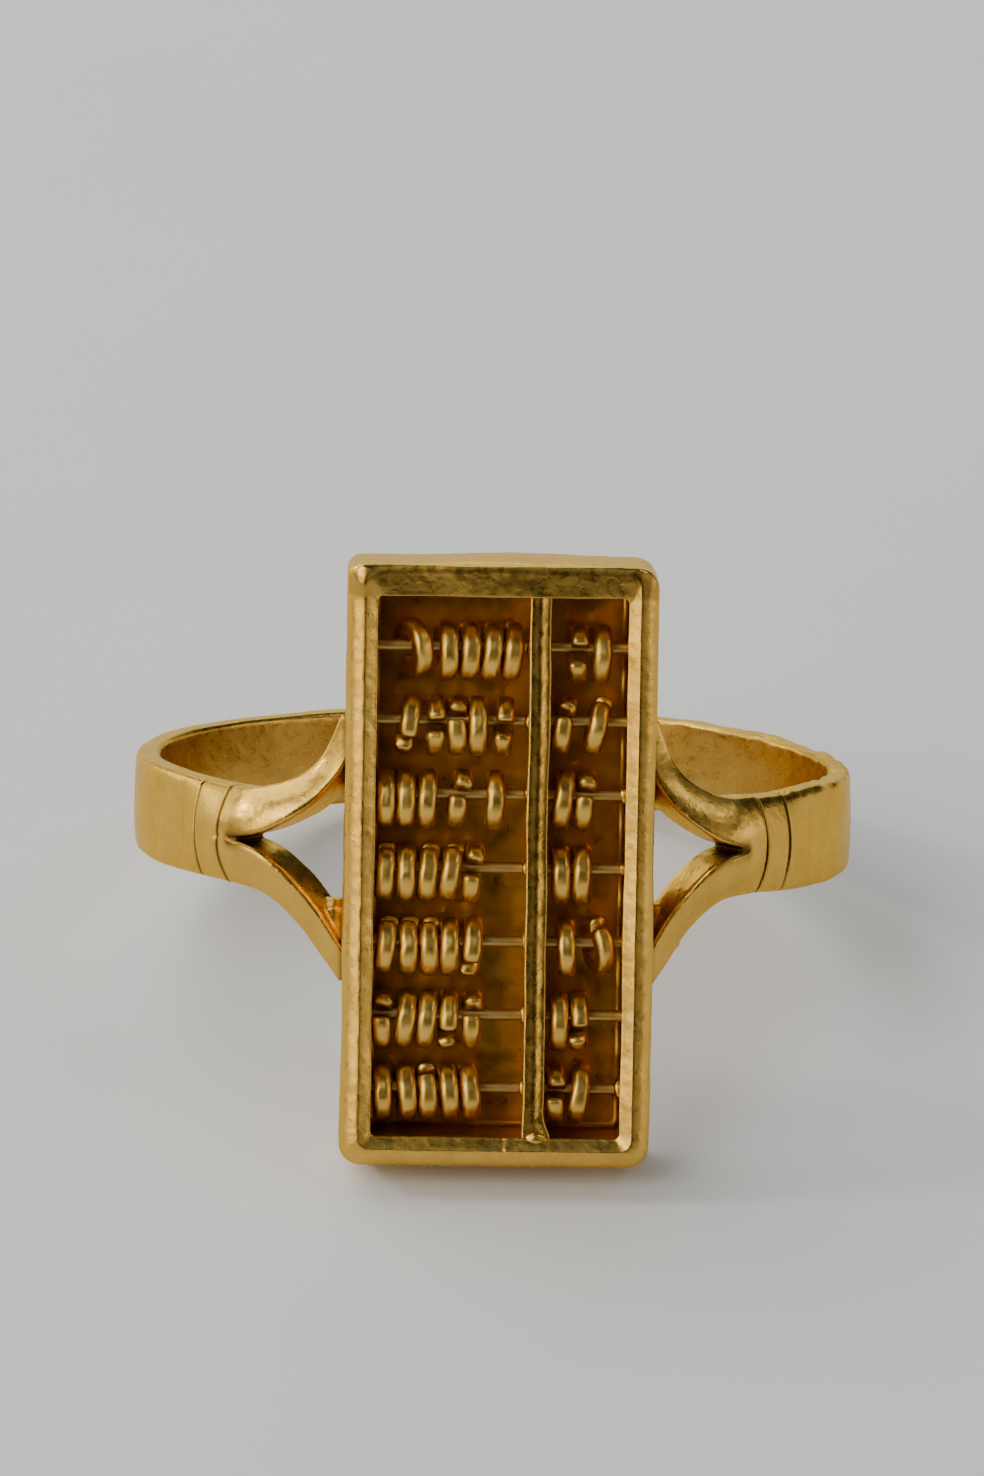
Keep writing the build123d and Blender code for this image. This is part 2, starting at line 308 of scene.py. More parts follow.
def soil_and_shade(piece, amounts):
    """Says how much dark dirt and painted shade sit on each point, from 0 to 1."""
    layer = piece.data.attributes.new("dirt_and_shade", "FLOAT", "POINT")
    layer.data.foreach_set("value", np.clip(amounts, 0, 1))


def rounded_loop(corners, radii, side_points, corner_points):
    """A closed outline through corners, each rounded to its radius, as an array of points."""
    corners = [Vector(corner) for corner in corners]
    starts, ends, arcs = [], [], []
    for index, corner in enumerate(corners):
        back = (corners[index - 1] - corner).normalized()
        ahead = (corners[(index + 1) % len(corners)] - corner).normalized()
        half = back.angle(ahead) / 2
        reach = radii[index] / np.tan(half)
        middle = corner + (back + ahead).normalized() * radii[index] / sin(half)
        start, end = corner + back * reach, corner + ahead * reach
        starts.append(start)
        ends.append(end)
        arc = []
        for step in range(corner_points + 1):
            share = step / corner_points
            way = (start - middle).slerp(end - middle, share)
            arc.append(middle + way.normalized() * radii[index])
        arcs.append(arc)
    loop = []
    for index, arc in enumerate(arcs):
        loop += arc
        next_start = starts[(index + 1) % len(arcs)]
        for step in range(1, side_points):
            loop.append(ends[index].lerp(next_start, step / side_points))
    return np.array([tuple(point) for point in loop])


def place_in_row(piece, body, replaced, *materials):
    """Moves a finished piece from the upright ring to the row's frame, and fixes it to a body."""
    piece.data.transform(row_from_ring)
    points = np.clip(coordinates(piece.data), cad_low, cad_high)
    piece.data.vertices.foreach_set("co", points.ravel())
    for material in materials:
        piece.data.materials.append(material)
    for polygon in piece.data.polygons:
        polygon.use_smooth = True
    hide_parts(replaced)
    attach(piece, body)


# Hoop


def sag(piece):
    """Bends the hoop down a little at its right side, and dents its upper edge there."""
    points = coordinates(piece.data)
    across, deep, up = points[:, 0], points[:, 1], points[:, 2]
    share = np.clip((across - sag_start) / (sag_end - sag_start), 0, 1)
    dents = np.array([noise.noise(Vector(point) / dent_size) for point in points.tolist()])
    dented = np.clip((across - dent_start) / (sag_end - dent_start), 0, 1) ** 0.5
    dented = dented * np.clip((up - hoop_rise) / (band_height / 2), 0, 1) * (deep > dents_behind)
    points[:, 2] -= right_sag * share ** sag_curve + dent_depth * dents * dented
    piece.data.vertices.foreach_set("co", points.ravel())
    piece.data.update()


def shoulder_share(angle, crotch):
    """How far the shoulder has grown at an angle: 0 on the plain band, 1 at the crotch."""
    share = (shoulder_turn - angle) / (shoulder_turn - crotch)
    return min(max(share, 0.0), 1.0) ** shoulder_growth


def band_outline(angle, crotch, inset):
    """Outline of the band at an angle, as radius and height, shrunk by an inset."""
    share = shoulder_share(angle, crotch)
    wall = band_wall + share * (shoulder_wall - band_wall)
    crown = band_crown + share * (shoulder_crown - band_crown)
    half = band_height / 2
    corners = (
        (inset, inset - half), (wall - inset, inset - half),
        (wall - inset, half - inset), (inset, half - inset),
    )
    outer_radius = band_edge_radius * band_outer_ease
    radii = [band_edge_radius, outer_radius, outer_radius, band_edge_radius]
    loop = rounded_loop(corners, radii, 20, 4)
    swell = np.clip(loop[:, 0] / wall, 0, 1) * (1 - (loop[:, 1] / half) ** 2)
    loop[:, 0] += finger_radius + crown * swell
    return loop


def turned(loop, azimuth):
    """Puts an outline of radius and height at an azimuth, counted from the front to the right."""
    way = radians(azimuth)
    return np.stack(
        [loop[:, 0] * sin(way), -loop[:, 0] * cos(way), loop[:, 1] + hoop_rise], axis=-1
    )


def hoop():
    """The band and the shoulders, from one near groove round the back to the other."""
    start = crotch_right + groove_near_right
    end = 360 - crotch_left - groove_near_left
    grooves = (crotch_right + groove_far_right, 360 - crotch_left - groove_far_left)
    stops = set(np.round(np.arange(start + lip_turn, end - lip_turn, hoop_step), 4))
    for groove in grooves:
        stops |= set(np.round(np.arange(groove - groove_zone, groove + groove_zone, groove_step), 4))
    ends = [(start + lip_turn * share, inset) for share, inset in lip_insets]
    deepest = ends[0][1]
    rings, darkening = [], []
    for azimuth, inset in ends:
        rings.append(turned(band_outline(azimuth, crotch_right, inset), azimuth))
        darkening.append(np.full(len(rings[0]), inset / deepest))
    for azimuth in sorted(stops):
        right = azimuth < 180
        angle = azimuth if right else 360 - azimuth
        loop = band_outline(angle, crotch_right if right else crotch_left, 0.0)
        distance = min(abs(azimuth - groove) for groove in grooves) * pi / 180 * finger_radius
        dent = groove_depth * np.exp(-((distance / (groove_width / 2)) ** 2))
        outer = np.clip((loop[:, 0] - finger_radius) / band_wall, 0, 1) ** 4
        near_edge = (abs(loop[:, 1]) / band_height * 2) ** 8
        loop[:, 0] -= dent * outer
        loop[:, 1] -= 0.5 * dent * outer * np.sign(loop[:, 1]) * near_edge
        rings.append(turned(loop, azimuth))
        darkening.append(outer * dent / groove_depth)
    for azimuth, inset in ends[::-1]:
        far_azimuth = start + end - azimuth
        rings.append(turned(band_outline(360 - far_azimuth, crotch_left, inset), far_azimuth))
        darkening.append(np.full(len(rings[0]), inset / deepest))
    piece = skin("hoop", np.array(rings))
    # Dirt at the cut ends and in the grooves, and painted shade on the hoop's inner face.
    radius = np.hypot(*coordinates(piece.data)[:, :2].T)
    soil_and_shade(piece, np.concatenate(darkening) + inside_shade * (radius < finger_radius + inside_layer))
    hammer(piece, hoop_waves, 1)
    sag(piece)
    return piece


# Branches

# How a branch runs from the crotch, at 0, to the side of the head, at 1. It starts just inside the
# shoulder. Run and rises are shares of the way there, width is a share of half the band's height, the
# walls are shares of the shoulder's full thickness, and twist is in degrees.
Section = namedtuple("Section", "run upper_rise lower_rise width gap_wall edge_wall twist")
branch_sections = (
    Section(-0.12, 0.00, 0.00, 1.00, 0.98, 0.60, 0),
    Section(0.00, 0.00, 0.00, 1.00, 0.98, 0.60, 0),
    Section(0.22, 0.04, 0.06, 0.95, 0.96, 0.62, 3),
    Section(0.45, 0.13, 0.23, 0.81, 0.92, 0.66, 10),
    Section(0.66, 0.27, 0.48, 0.69, 0.86, 0.70, 18),
    Section(0.84, 0.51, 0.78, 0.60, 0.80, 0.74, 24),
    Section(1.00, 0.93, 1.03, 0.56, 0.76, 0.74, 28),
)


def smooth_rows(rows, between):
    """The rows of a table, with more rows between them on a smooth curve through them."""
    last = len(rows) - 1
    found = []
    for step in range(last * between + 1):
        index = min(step // between, last - 1)
        share = step / between - index
        near = [rows[min(max(index + shift, 0), last)] for shift in (-1, 0, 1, 2)]
        values = []
        for before, one, two, after in zip(*near):
            pull = (2 * before - 5 * one + 4 * two - after) * share
            bend = (3 * one - before - 3 * two + after) * share * share
            values.append(one + share * (two - before + pull + bend) / 2)
        found.append(type(rows[0])(*values))
    return found


def branch_outline(width, gap_wall, edge_wall):
    """Outline of a branch: the sawn face at the bottom, the domed outside at the right."""
    inner = -gap_wall / 2
    half = width / 2
    corners = (
        (inner, -half), (inner + gap_wall, -half), (inner + edge_wall, half), (inner, half),
    )
    outer_radius = branch_edge_radius * branch_outer_ease
    radii = (branch_edge_radius, branch_edge_radius, outer_radius, branch_edge_radius)
    loop = rounded_loop(corners, radii, 10, 4)
    outer = np.clip((loop[:, 0] - inner) / edge_wall, 0, 1) ** 2
    loop[:, 0] += outer * branch_dome * (gap_wall - edge_wall) * (1 - (loop[:, 1] / half) ** 2)
    return loop


def branch(crotch, rise_name, side, up):
    """A branch that climbs or drops from the crotch to the side of the head."""
    outward = Vector((sin(radians(crotch)), -cos(radians(crotch)), 0))
    start = outward * (finger_radius + crotch_wall / 2) + Vector((0, 0, band_height / 4))
    end = Vector((head_width / 2 - branch_bury, -head_back - branch_behind_back, branch_tip_height))
    along = end - start
    rows = smooth_rows(branch_sections, branch_steps)
    points = []
    for row in rows:
        swing = row.run * (1 - row.run) ** 2
        points.append(start + Vector((
            along.x * row.run + branch_swing[0] * swing,
            along.y * row.run + branch_swing[1] * swing,
            along.z * getattr(row, rise_name),
        )))
    rings = []
    for index, row in enumerate(rows):
        way = points[min(index + 1, len(points) - 1)] - points[max(index - 1, 0)]
        way.normalize()
        out = outward.lerp(Vector((0, -1, 0)), max(row.run, 0))
        out = (out - way * out.dot(way)).normalized()
        out = Matrix.Rotation(radians(row.twist), 3, way) @ out
        across = way.cross(out)
        loop = branch_outline(
            row.width * band_height / 2, row.gap_wall * crotch_wall, row.edge_wall * crotch_wall
        )
        ring = np.array(points[index]) + loop[:, :1] * np.array(out) + loop[:, 1:] * np.array(across)
        rings.append(ring * np.array([side, 1, up]) + np.array([0, 0, hoop_rise]))
    return skin("branch", np.array(rings))


def joined(pieces, name):
    """One object from several."""
    work = bmesh.new()
    for piece in pieces:
        work.from_mesh(piece.data)
        bpy.data.objects.remove(piece)
    mesh = bpy.data.meshes.new(name)
    work.to_mesh(mesh)
    work.free()
    whole = bpy.data.objects.new(name, mesh)
    bpy.context.scene.collection.objects.link(whole)
    return whole


def fused(piece, voxel, smooth_turns):
    """Melts the overlapping parts of a piece into one skin, with soft creases."""
    remesh = piece.modifiers.new("melt", "REMESH")
    remesh.mode = "VOXEL"
    remesh.voxel_size = voxel
    smooth = piece.modifiers.new("soften", "SMOOTH")
    smooth.factor = 0.5
    smooth.iterations = smooth_turns
    seen = piece.evaluated_get(bpy.context.evaluated_depsgraph_get())
    mesh = bpy.data.meshes.new_from_object(seen)
    piece.modifiers.clear()
    piece.data = mesh
    return piece


def blob(middle, radii, seed):
    """A small lump of solder."""
    steps, around = 10, 18
    pole = 0.02
    rings = []
    for step in range(steps + 1):
        tilt = pi * (step + pole) / (steps + 2 * pole)
        ring = []
        for turn in range(around):
            angle = 2 * pi * turn / around
            ring.append((
                middle[0] - radii[0] * cos(tilt),
                middle[1] + radii[1] * sin(tilt) * cos(angle),
                middle[2] + radii[2] * sin(tilt) * sin(angle),
            ))
        rings.append(ring)
    piece = skin("blob", np.array(rings))
    hammer(piece, lump_waves, seed)
    return piece


def fork(crotch, groove_near, side, name, seed):
    """The root of one shoulder, next to the crotch, with its two branches and the solder below."""
    root_start = crotch + groove_near
    stops = [(root_start - lip_turn * share, inset) for share, inset in lip_insets]
    stops += [(root_start - step, 0.0) for step in root_steps]
    stops.append((crotch, 0.0))
    rings = []
    for angle, inset in stops:
        rings.append(turned(band_outline(angle, crotch, inset), angle) * np.array([side, 1, 1]))
    root = skin("root", np.array(rings))
    upper = branch(crotch, "upper_rise", side, 1)
    lower = branch(crotch, "lower_rise", side, -1)
    web_middle = (
        side * (head_width / 2 + web_out), -head_back - branch_behind_back, hoop_rise - web_drop
    )
    web = blob(web_middle, web_half_size, seed)
    piece = fused(joined([root, upper, lower, web], name), melt_voxel, melt_turns)
    hammer(piece, fork_waves, seed)
    points = coordinates(piece.data)
    across, deep, up = points[:, 0] * side, points[:, 1], points[:, 2] - hoop_rise
    turn = np.degrees(np.arctan2(across, -deep))
    # Dirt along the seam and at the joins to the head. The slot at the crotch is darkened almost to
    # black.
    seam = np.exp(-(((turn - root_start) / seam_turn) ** 2))
    slot = np.exp(-((up / slot_height) ** 2)) * np.clip(crotch + slot_start - turn, 0, 1)
    slot *= np.clip((turn - crotch + slot_turn) / slot_fade, 0, 1)
    join = np.exp(-(((across - head_width / 2) / join_width) ** 2)) * join_grime
    soil_and_shade(piece, seam + slot_darkening * slot + join)
    sag(piece)
    return piece


# Head


def frame_outline(side_reach, top_reach, radii, steps):
    """A rounded rectangle round the tray's opening, as width and height.

    It is grown by one reach at the sides and the bottom, and by another at the top. The second array
    says how far each point belongs to the top, from 0 to 1.
    """
    half_width = open_width / 2 + side_reach
    low, high = -open_height / 2 - side_reach, open_height / 2 + top_reach
    corners = ((-half_width, low), (half_width, low), (half_width, high), (-half_width, high))
    loop, topness = [], []
    for index, corner in enumerate(corners):
        after = corners[(index + 1) % 4]
        after_radius = radii[(index + 1) % 4]
        centre = np.array(corner) - np.sign(corner) * radii[index]
        after_centre = np.array(after) - np.sign(after) * after_radius
        first = pi + index * pi / 2
        for share in np.linspace(0, 1, 9):
            angle = first + share * pi / 2
            loop.append(centre + radii[index] * np.array([cos(angle), sin(angle)]))
            topness.append({2: share, 3: 1 - share}.get(index, 0))
        angle = first + pi / 2
        begin = loop[-1]
        finish = after_centre + after_radius * np.array([cos(angle), sin(angle)])
        count = steps * 2 if index % 2 == 1 else steps
        for step in range(1, count):
            loop.append(begin + (finish - begin) * step / count)
            topness.append(1 if index == 2 else 0)
    return np.array(loop), np.array(topness)


def rim_profile(bevel, tilt, round_deep, lip):
    """From the floor's edge up the inside, over the rim and down the outside to the back.

    Each row is a reach outward from the opening and a depth behind the rim's front. The bevel climbs
    from the lip's depth to the narrow crest. From there the outside rolls away, first at the tilt, in
    degrees, and at last straight back.
    """
    rows = []
    for share in np.linspace(0, 1, wall_steps):
        rows.append((wall_ease * (1 - share ** 6), tray_depth + (lip + rim_burr - tray_depth) * share))
    for angle in np.linspace(0, pi / 2, 4)[1:]:
        rows.append((rim_burr * (1 - cos(angle)), lip + rim_burr * (1 - sin(angle))))
    for share in np.linspace(0, 1, 11)[1:]:
        rows.append((rim_burr + (bevel - rim_burr) * share, lip * (1 - share) ** bevel_curve))
    for share in np.linspace(0, 1, 4)[1:]:
        rows.append((bevel + rim_crest * share, 0.0))
    start = radians(tilt)
    round_wide = rim_width - bevel - rim_crest
    for angle in np.linspace(start, pi / 2, 13)[1:]:
        rows.append((
            bevel + rim_crest + round_wide * (sin(angle) - sin(start)) / (1 - sin(start)),
            round_deep * (cos(start) - cos(angle)) / cos(start),
        ))
    for share in np.linspace(0, 1, 18)[1:]:
        rows.append((rim_width, round_deep + (head_depth - back_round - round_deep) * share))
    for angle in np.linspace(0, pi / 2, 6)[1:]:
        rows.append((
            rim_width - back_round + back_round * cos(angle),
            head_depth - back_round + back_round * sin(angle),
        ))
    return rows


def ring_round(side_row, top_row):
    """One ring of the head's skin, from a reach and a depth for the sides and for the top."""
    side_reach, side_depth = side_row
    top_reach, top_depth = top_row
    share = max(side_reach, 0) / rim_width
    limit = max(open_width / 2 + side_reach - 0.01, 0.02)
    radii = [
        min(tray_corner_radius + share * (radius - tray_corner_radius), limit)
        for radius in corner_radii
    ]
    loop, topness = frame_outline(side_reach, top_reach, radii, outline_steps)
    bow = np.clip(1 - (loop[:, 0] / (head_width / 2)) ** 2, 0, None)
    loop[:, 1] += top_bow * max(top_reach, 0) / rim_width * bow * (topness > 0)
    depth = side_depth + (top_depth - side_depth) * topness
    return np.stack([loop[:, 0], depth - head_front, loop[:, 1]], -1)


def head():
    """The open tray: floor, walls, rim and back, as one closed skin."""
    side_rows = rim_profile(bevel_width, side_tilt, side_round, bevel_depth)
    top_rows = rim_profile(top_bevel_width, top_tilt, top_round, top_bevel_depth)
    innermost = -open_width / 2 + floor_slit
    inner = [(reach, tray_depth) for reach in np.linspace(innermost, -floor_edge, floor_steps)]
    back_start = rim_width - back_round - back_edge
    outer = [(reach, head_depth) for reach in np.linspace(back_start, innermost, floor_steps)]
    rows = zip(inner + side_rows + outer, inner + top_rows + outer)
    rings = [ring_round(side_row, top_row) for side_row, top_row in rows]
    piece = skin("head", np.array(rings))
    around = len(rings[0])
    inside_rows = len(inner) + wall_steps - 1
    # The tray's inside takes the second gold, a copy painted with shade.
    for polygon in piece.data.polygons:
        if min(polygon.vertices) // around < inside_rows:
            polygon.material_index = 1
    soil_and_shade(piece, head_dirt_and_shade(coordinates(piece.data)))
    hammer(piece, head_waves, 5)
    wear(piece)
    return piece


def head_dirt_and_shade(points):
    """Dirt and painted shade in the tray's corners, and painted shade on the top's wide bevel."""
    across, forward, up = points[:, 0], -points[:, 1], points[:, 2]
    floor_front = head_front - tray_depth
    to_wall = np.minimum(open_width / 2 - abs(across), open_height / 2 - abs(up))
    inside = (to_wall > -tray_layer) * (forward > floor_front - tray_layer)
    from_corner = np.hypot(np.clip(to_wall, 0, None), forward - floor_front)
    # Dirt and painted shade gather in the tray's corners.
    corners = inside * corner_dirt_and_shade * np.exp(-from_corner / corner_reach)
    # Painted shade lies on the top's wide bevel.
    strip = (up > open_height / 2) * (forward > head_front - strip_depth)
    strip = strip * np.clip((open_height / 2 + top_bevel_width - up) / shade_fade, 0, 1)
    return corners + strip_shade * strip


def wear(piece):
    """The head's own marks: a proud upper left corner and a burr on the lower rim."""
    points = coordinates(piece.data)
    near_front = -points[:, 1] > head_front - worn_layer
    across, up = points[:, 0], points[:, 2]
    beside = across + head_width / 2 - corner_inset
    above = up - head_height / 2 + corner_inset
    corner = np.exp(-(beside ** 2 + above ** 2) / corner_spread)
    points[:, 1] -= corner_proud * corner * near_front
    on_lower_rim = (up < -open_height / 2) * (up > -open_height / 2 - burr_length)
    burr = np.exp(-((across - burr_place) / burr_width) ** 2) * on_lower_rim
    points[:, 1] -= burr_proud * burr * near_front
    piece.data.vertices.foreach_set("co", points.ravel())
    piece.data.update()


def divider():
    """The bar across the tray, a little wavy, hollowed along its front, with a spread foot."""
    left = lower_deck_width - open_width / 2
    middle = left + divider_width / 2
    front = head_front - divider_drop
    back = head_front - tray_depth - 0.1
    depth = front - back
    half_width = divider_width / 2 - divider_ease
    corners = ((-half_width, 0), (half_width, 0), (half_width, depth), (-half_width, depth))
    base = rounded_loop(corners, divider_radii, 14, 4)
    near_front = np.clip((base[:, 1] - depth + brow_depth) / brow_fade, 0, 1)
    base[:, 0] *= 1 + divider_brow * near_front
    top = np.clip((base[:, 1] - depth * 0.9) / (depth * 0.1), 0, 1)
    hollow = hollow_depth * np.exp(-((base[:, 0] / hollow_width) ** 2))
    in_hollow = np.clip((hollow_shade_reach - abs(base[:, 0])) / shade_fade, 0, 1)
    half = open_height / 2 + 0.2
    rings, darkening = [], []
    for height in np.linspace(-half, half, divider_steps):
        loop = base.copy()
        foot = np.exp(-((height + open_height / 2) / foot_height) ** 2)
        wander = wander_reach * noise.noise(Vector((0.3, height / wander_length, 1.7)))
        flare = foot_flare * foot * near_front
        loop[:, 0] += wander + flare * np.clip(loop[:, 0] / divider_width + 0.5, 0, 1)
        loop[:, 1] -= top * hollow
        # The hollow's middle gets painted shade, which fades out at the foot.
        darkening.append(hollow_shade * top * in_hollow * (1 - foot))
        rings.append(np.stack(
            [middle + loop[:, 0], -(back + loop[:, 1]), np.full(len(loop), height)], -1
        ))
    piece = skin("divider", np.array(rings))
    soil_and_shade(piece, np.concatenate(darkening))
    hammer(piece, divider_waves, 9)
    return piece


def rod_middle(row):
    """Depth and height of a rod in the upright ring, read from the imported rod."""
    low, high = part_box(f"rod_{row + 1}")
    middle = ring_from_row @ ((low + high) / 2)
    return middle.y, middle.z


def solder():
    """Lumps of solder where the rods meet the divider and the right wall, and at the divider's foot."""
    left = lower_deck_width - open_width / 2
    right = open_width / 2
    lumps = []
    for row in range(rod_rows):
        depth, height = rod_middle(row)
        lumps.append(blob((left, depth, height), divider_lump, 20 + row))
    for row, scale in wall_lump_scales.items():
        depth, height = rod_middle(row)
        radii = [half_size * scale for half_size in wall_lump]
        lumps.append(blob((right, depth, height), radii, 30 + row))
    foot = (
        left + divider_width / 2 + foot_lump_right,
        -head_front + divider_drop,
        -open_height / 2 - foot_lump_drop,
    )
    lumps.append(blob(foot, foot_lump, 40))
    return joined(lumps, "solder")


# Beads

Ring = namedtuple("Ring", "centre axis gap_way gap bore outer width")


def loose_parts(node):
    """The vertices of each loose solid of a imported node, in the upright ring's millimetres."""
    work = bmesh.new()
    work.from_mesh(frame["nodes"][node].data)
    bmesh.ops.remove_doubles(work, verts=work.verts, dist=1e-7)
    left = set(work.verts)
    parts = []
    while left:
        found, edge = set(), [left.pop()]
        while edge:
            vertex = edge.pop()
            found.add(vertex)
            for link in vertex.link_edges:
                other = link.other_vert(vertex)
                if other in left:
                    left.discard(other)
                    edge.append(other)
        parts.append(np.array([ring_from_row @ vertex.co for vertex in found]))
    work.free()
    return sorted(parts, key=lambda part: part[:, 0].mean())


def measure_ring(points):
    """Centre, axis and gap of one packed bead."""
    spread = points - points.mean(0)
    values, ways = np.linalg.eigh(spread.T @ spread)
    axis = ways[:, 0] * np.sign(ways[0, 0])
    low, high = (points @ axis).min(), (points @ axis).max()
    first = np.cross(axis, [0, 0, 1.0])
    first /= np.linalg.norm(first)
    second = np.cross(first, axis)
    flat = np.stack([points @ first, points @ second], -1)
    centre = flat.mean(0)
    fit_turns, rim_share = 12, 0.93
    for turn in range(fit_turns):
        reach = np.linalg.norm(flat - centre, axis=1)
        rim = flat[reach > rim_share * reach.max()]
        sums = np.c_[2 * rim, np.ones(len(rim))]
        centre = np.linalg.lstsq(sums, (rim ** 2).sum(1), rcond=None)[0][:2]
    reach = np.linalg.norm(flat - centre, axis=1)
    angles = np.sort(np.arctan2(*(flat - centre).T[::-1]))
    gaps = np.diff(np.r_[angles, angles[0] + 2 * pi])
    widest = int(gaps.argmax())
    middle = angles[widest] + gaps[widest] / 2
    place = centre[0] * first + centre[1] * second + axis * (low + high) / 2
    way = cos(middle) * first + sin(middle) * second
    return Ring(place, axis, way, gaps[widest], reach.min(), reach.max(), high - low)


def bead_section(width, wall):
    """Half round wire: flat towards the rod, at 0, and round outside."""
    half = width / 2
    corners = ((-half, 0), (half, 0), (half, wall), (-half, wall))
    round_radius = half * wire_round
    return rounded_loop(
        corners, (wire_edge_radius, wire_edge_radius, round_radius, round_radius), 3, 6
    )


def bead(ring, seed):
    """One open ring of wire, with sprung, roughly cut ends."""
    side = np.cross(ring.axis, ring.gap_way)
    wall = ring.outer - ring.bore + bead_proud
    section = bead_section(ring.width + bead_swell, wall)
    spring = spring_spread * noise.noise(Vector((seed * 1.7, 0.4, 2.2))) + spring_mean
    rings = []
    for step in range(bead_steps + 1):
        share = step / bead_steps
        angle = ring.gap / 2 + share * (2 * pi - ring.gap)
        out = cos(angle) * ring.gap_way + sin(angle) * side
        lead = (share - 0.5) * 2
        drift = spring * np.sign(lead) * abs(lead) ** 5
        near_end = max(abs(lead) - (1 - wire_end), 0) / wire_end
        shrink = 1 - wire_end_shrink * near_end
        loop = section.copy()
        loop[:, 0] = loop[:, 0] * shrink + drift
        loop[:, 1] = ring.bore + wall / 2 + (loop[:, 1] - wall / 2) * shrink
        along = loop[:, :1] * ring.axis
        rings.append(ring.centre + along + loop[:, 1:] * out)
    piece = skin("bead", np.array(rings))
    hammer(piece, bead_waves, seed)
    return piece


def bead_group(node, body, seed, material):
    """The detailed beads of one rod and deck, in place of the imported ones."""
    beads = []
    for index, points in enumerate(loose_parts(node)):
        beads.append(bead(measure_ring(points), seed + index))
    piece = joined(beads, f"{node}_wire")
    place_in_row(piece, body, node, material)


# Materials


# One dark colour for both the dirt and the painted shade.
dirt_and_shade_colour = (0.05, 0.018, 0.006, 1)
edge_tint = (1.0, 0.84, 0.46, 1)
bump_strength = 0.28
bump_depth = 0.01
grain_bump = 0.6
dent_scale = 3.2


def gold(name, colour, dark, rough, scratch, pit, dent, scale):
    """Worn gold: a base tone with darker patches, uneven gloss, fine scratches, pits and dents.

    Scratch, pit and dent are their shares of the bump, and scale is how fine the patches are.
    """
    material = bpy.data.materials.new(name)
    material.use_nodes = True
    nodes, links = material.node_tree.nodes, material.node_tree.links
    shader = nodes["Principled BSDF"]
    shader.inputs["Metallic"].default_value = 1.0
    shader.inputs["Specular Tint"].default_value = edge_tint
    place = nodes.new("ShaderNodeTexCoord")
    stretch = nodes.new("ShaderNodeMapping")
    stretch.inputs["Scale"].default_value = (1 / metre, 1 / metre, 1 / metre)
    links.new(place.outputs["Object"], stretch.inputs["Vector"])

    def cloud(size, detail, roughness=0.55):
        found = nodes.new("ShaderNodeTexNoise")
        found.inputs["Scale"].default_value = size
        found.inputs["Detail"].default_value = detail
        found.inputs["Roughness"].default_value = roughness
        links.new(stretch.outputs["Vector"], found.inputs["Vector"])
        return found.outputs["Fac"]

    def ramp(source, low, high, first, second):
        found = nodes.new("ShaderNodeValToRGB")
        found.color_ramp.elements[0].position = low
        found.color_ramp.elements[1].position = high
        found.color_ramp.elements[0].color = first
        found.color_ramp.elements[1].color = second
        links.new(source, found.inputs["Fac"])
        return found.outputs["Color"]

    def raised(source, amount, below=None):
        found = nodes.new("ShaderNodeMath")
        found.operation = "MULTIPLY_ADD"
        found.inputs[1].default_value = amount
        found.inputs[2].default_value = 0.0
        links.new(source, found.inputs[0])
        if below is not None:
            links.new(below, found.inputs[2])
        return found.outputs[0]

    tone = ramp(cloud(0.9 * scale, 4), 0.3, 0.72, (*dark, 1), (*colour, 1))
    # The attribute blends dirt and painted shade in toward that dark colour.
    darkening = nodes.new("ShaderNodeAttribute")
    darkening.attribute_name = "dirt_and_shade"
    darkened = nodes.new("ShaderNodeMix")
    darkened.data_type = "RGBA"
    links.new(darkening.outputs["Fac"], darkened.inputs["Factor"])
    links.new(tone, darkened.inputs["A"])
    darkened.inputs["B"].default_value = dirt_and_shade_colour
    links.new(darkened.outputs["Result"], shader.inputs["Base Color"])
    gloss = ramp(cloud(2.2 * scale, 5), 0.3, 0.75, (rough[0],) * 3 + (1,), (rough[1],) * 3 + (1,))
    links.new(gloss, shader.inputs["Roughness"])

    # The scratches are noise drawn out along one slanting way.
    scratch_map = nodes.new("ShaderNodeMapping")
    scratch_map.inputs["Scale"].default_value = (1 / metre, 1 / metre, 0.12 / metre)
    scratch_map.inputs["Rotation"].default_value = (0.35, 0.2, 0.3)
    links.new(place.outputs["Object"], scratch_map.inputs["Vector"])
    lines = nodes.new("ShaderNodeTexNoise")
    lines.inputs["Scale"].default_value = 16 * scale
    lines.inputs["Detail"].default_value = 3
    links.new(scratch_map.outputs["Vector"], lines.inputs["Vector"])
    spots = nodes.new("ShaderNodeTexVoronoi")
    spots.inputs["Scale"].default_value = 4.5 * scale
    links.new(stretch.outputs["Vector"], spots.inputs["Vector"])
    pits = ramp(spots.outputs["Distance"], 0.04, 0.16, (0, 0, 0, 1), (1, 1, 1, 1))
    height = raised(pits, pit)
    height = raised(lines.outputs["Fac"], scratch, height)
    height = raised(cloud(9 * scale, 6, 0.65), grain_bump, height)
    height = raised(cloud(dent_scale, 2), dent, height)
    bump = nodes.new("ShaderNodeBump")
    bump.inputs["Strength"].default_value = bump_strength
    bump.inputs["Distance"].default_value = bump_depth * metre
    links.new(height, bump.inputs["Height"])
    links.new(bump.outputs["Normal"], shader.inputs["Normal"])
    return material


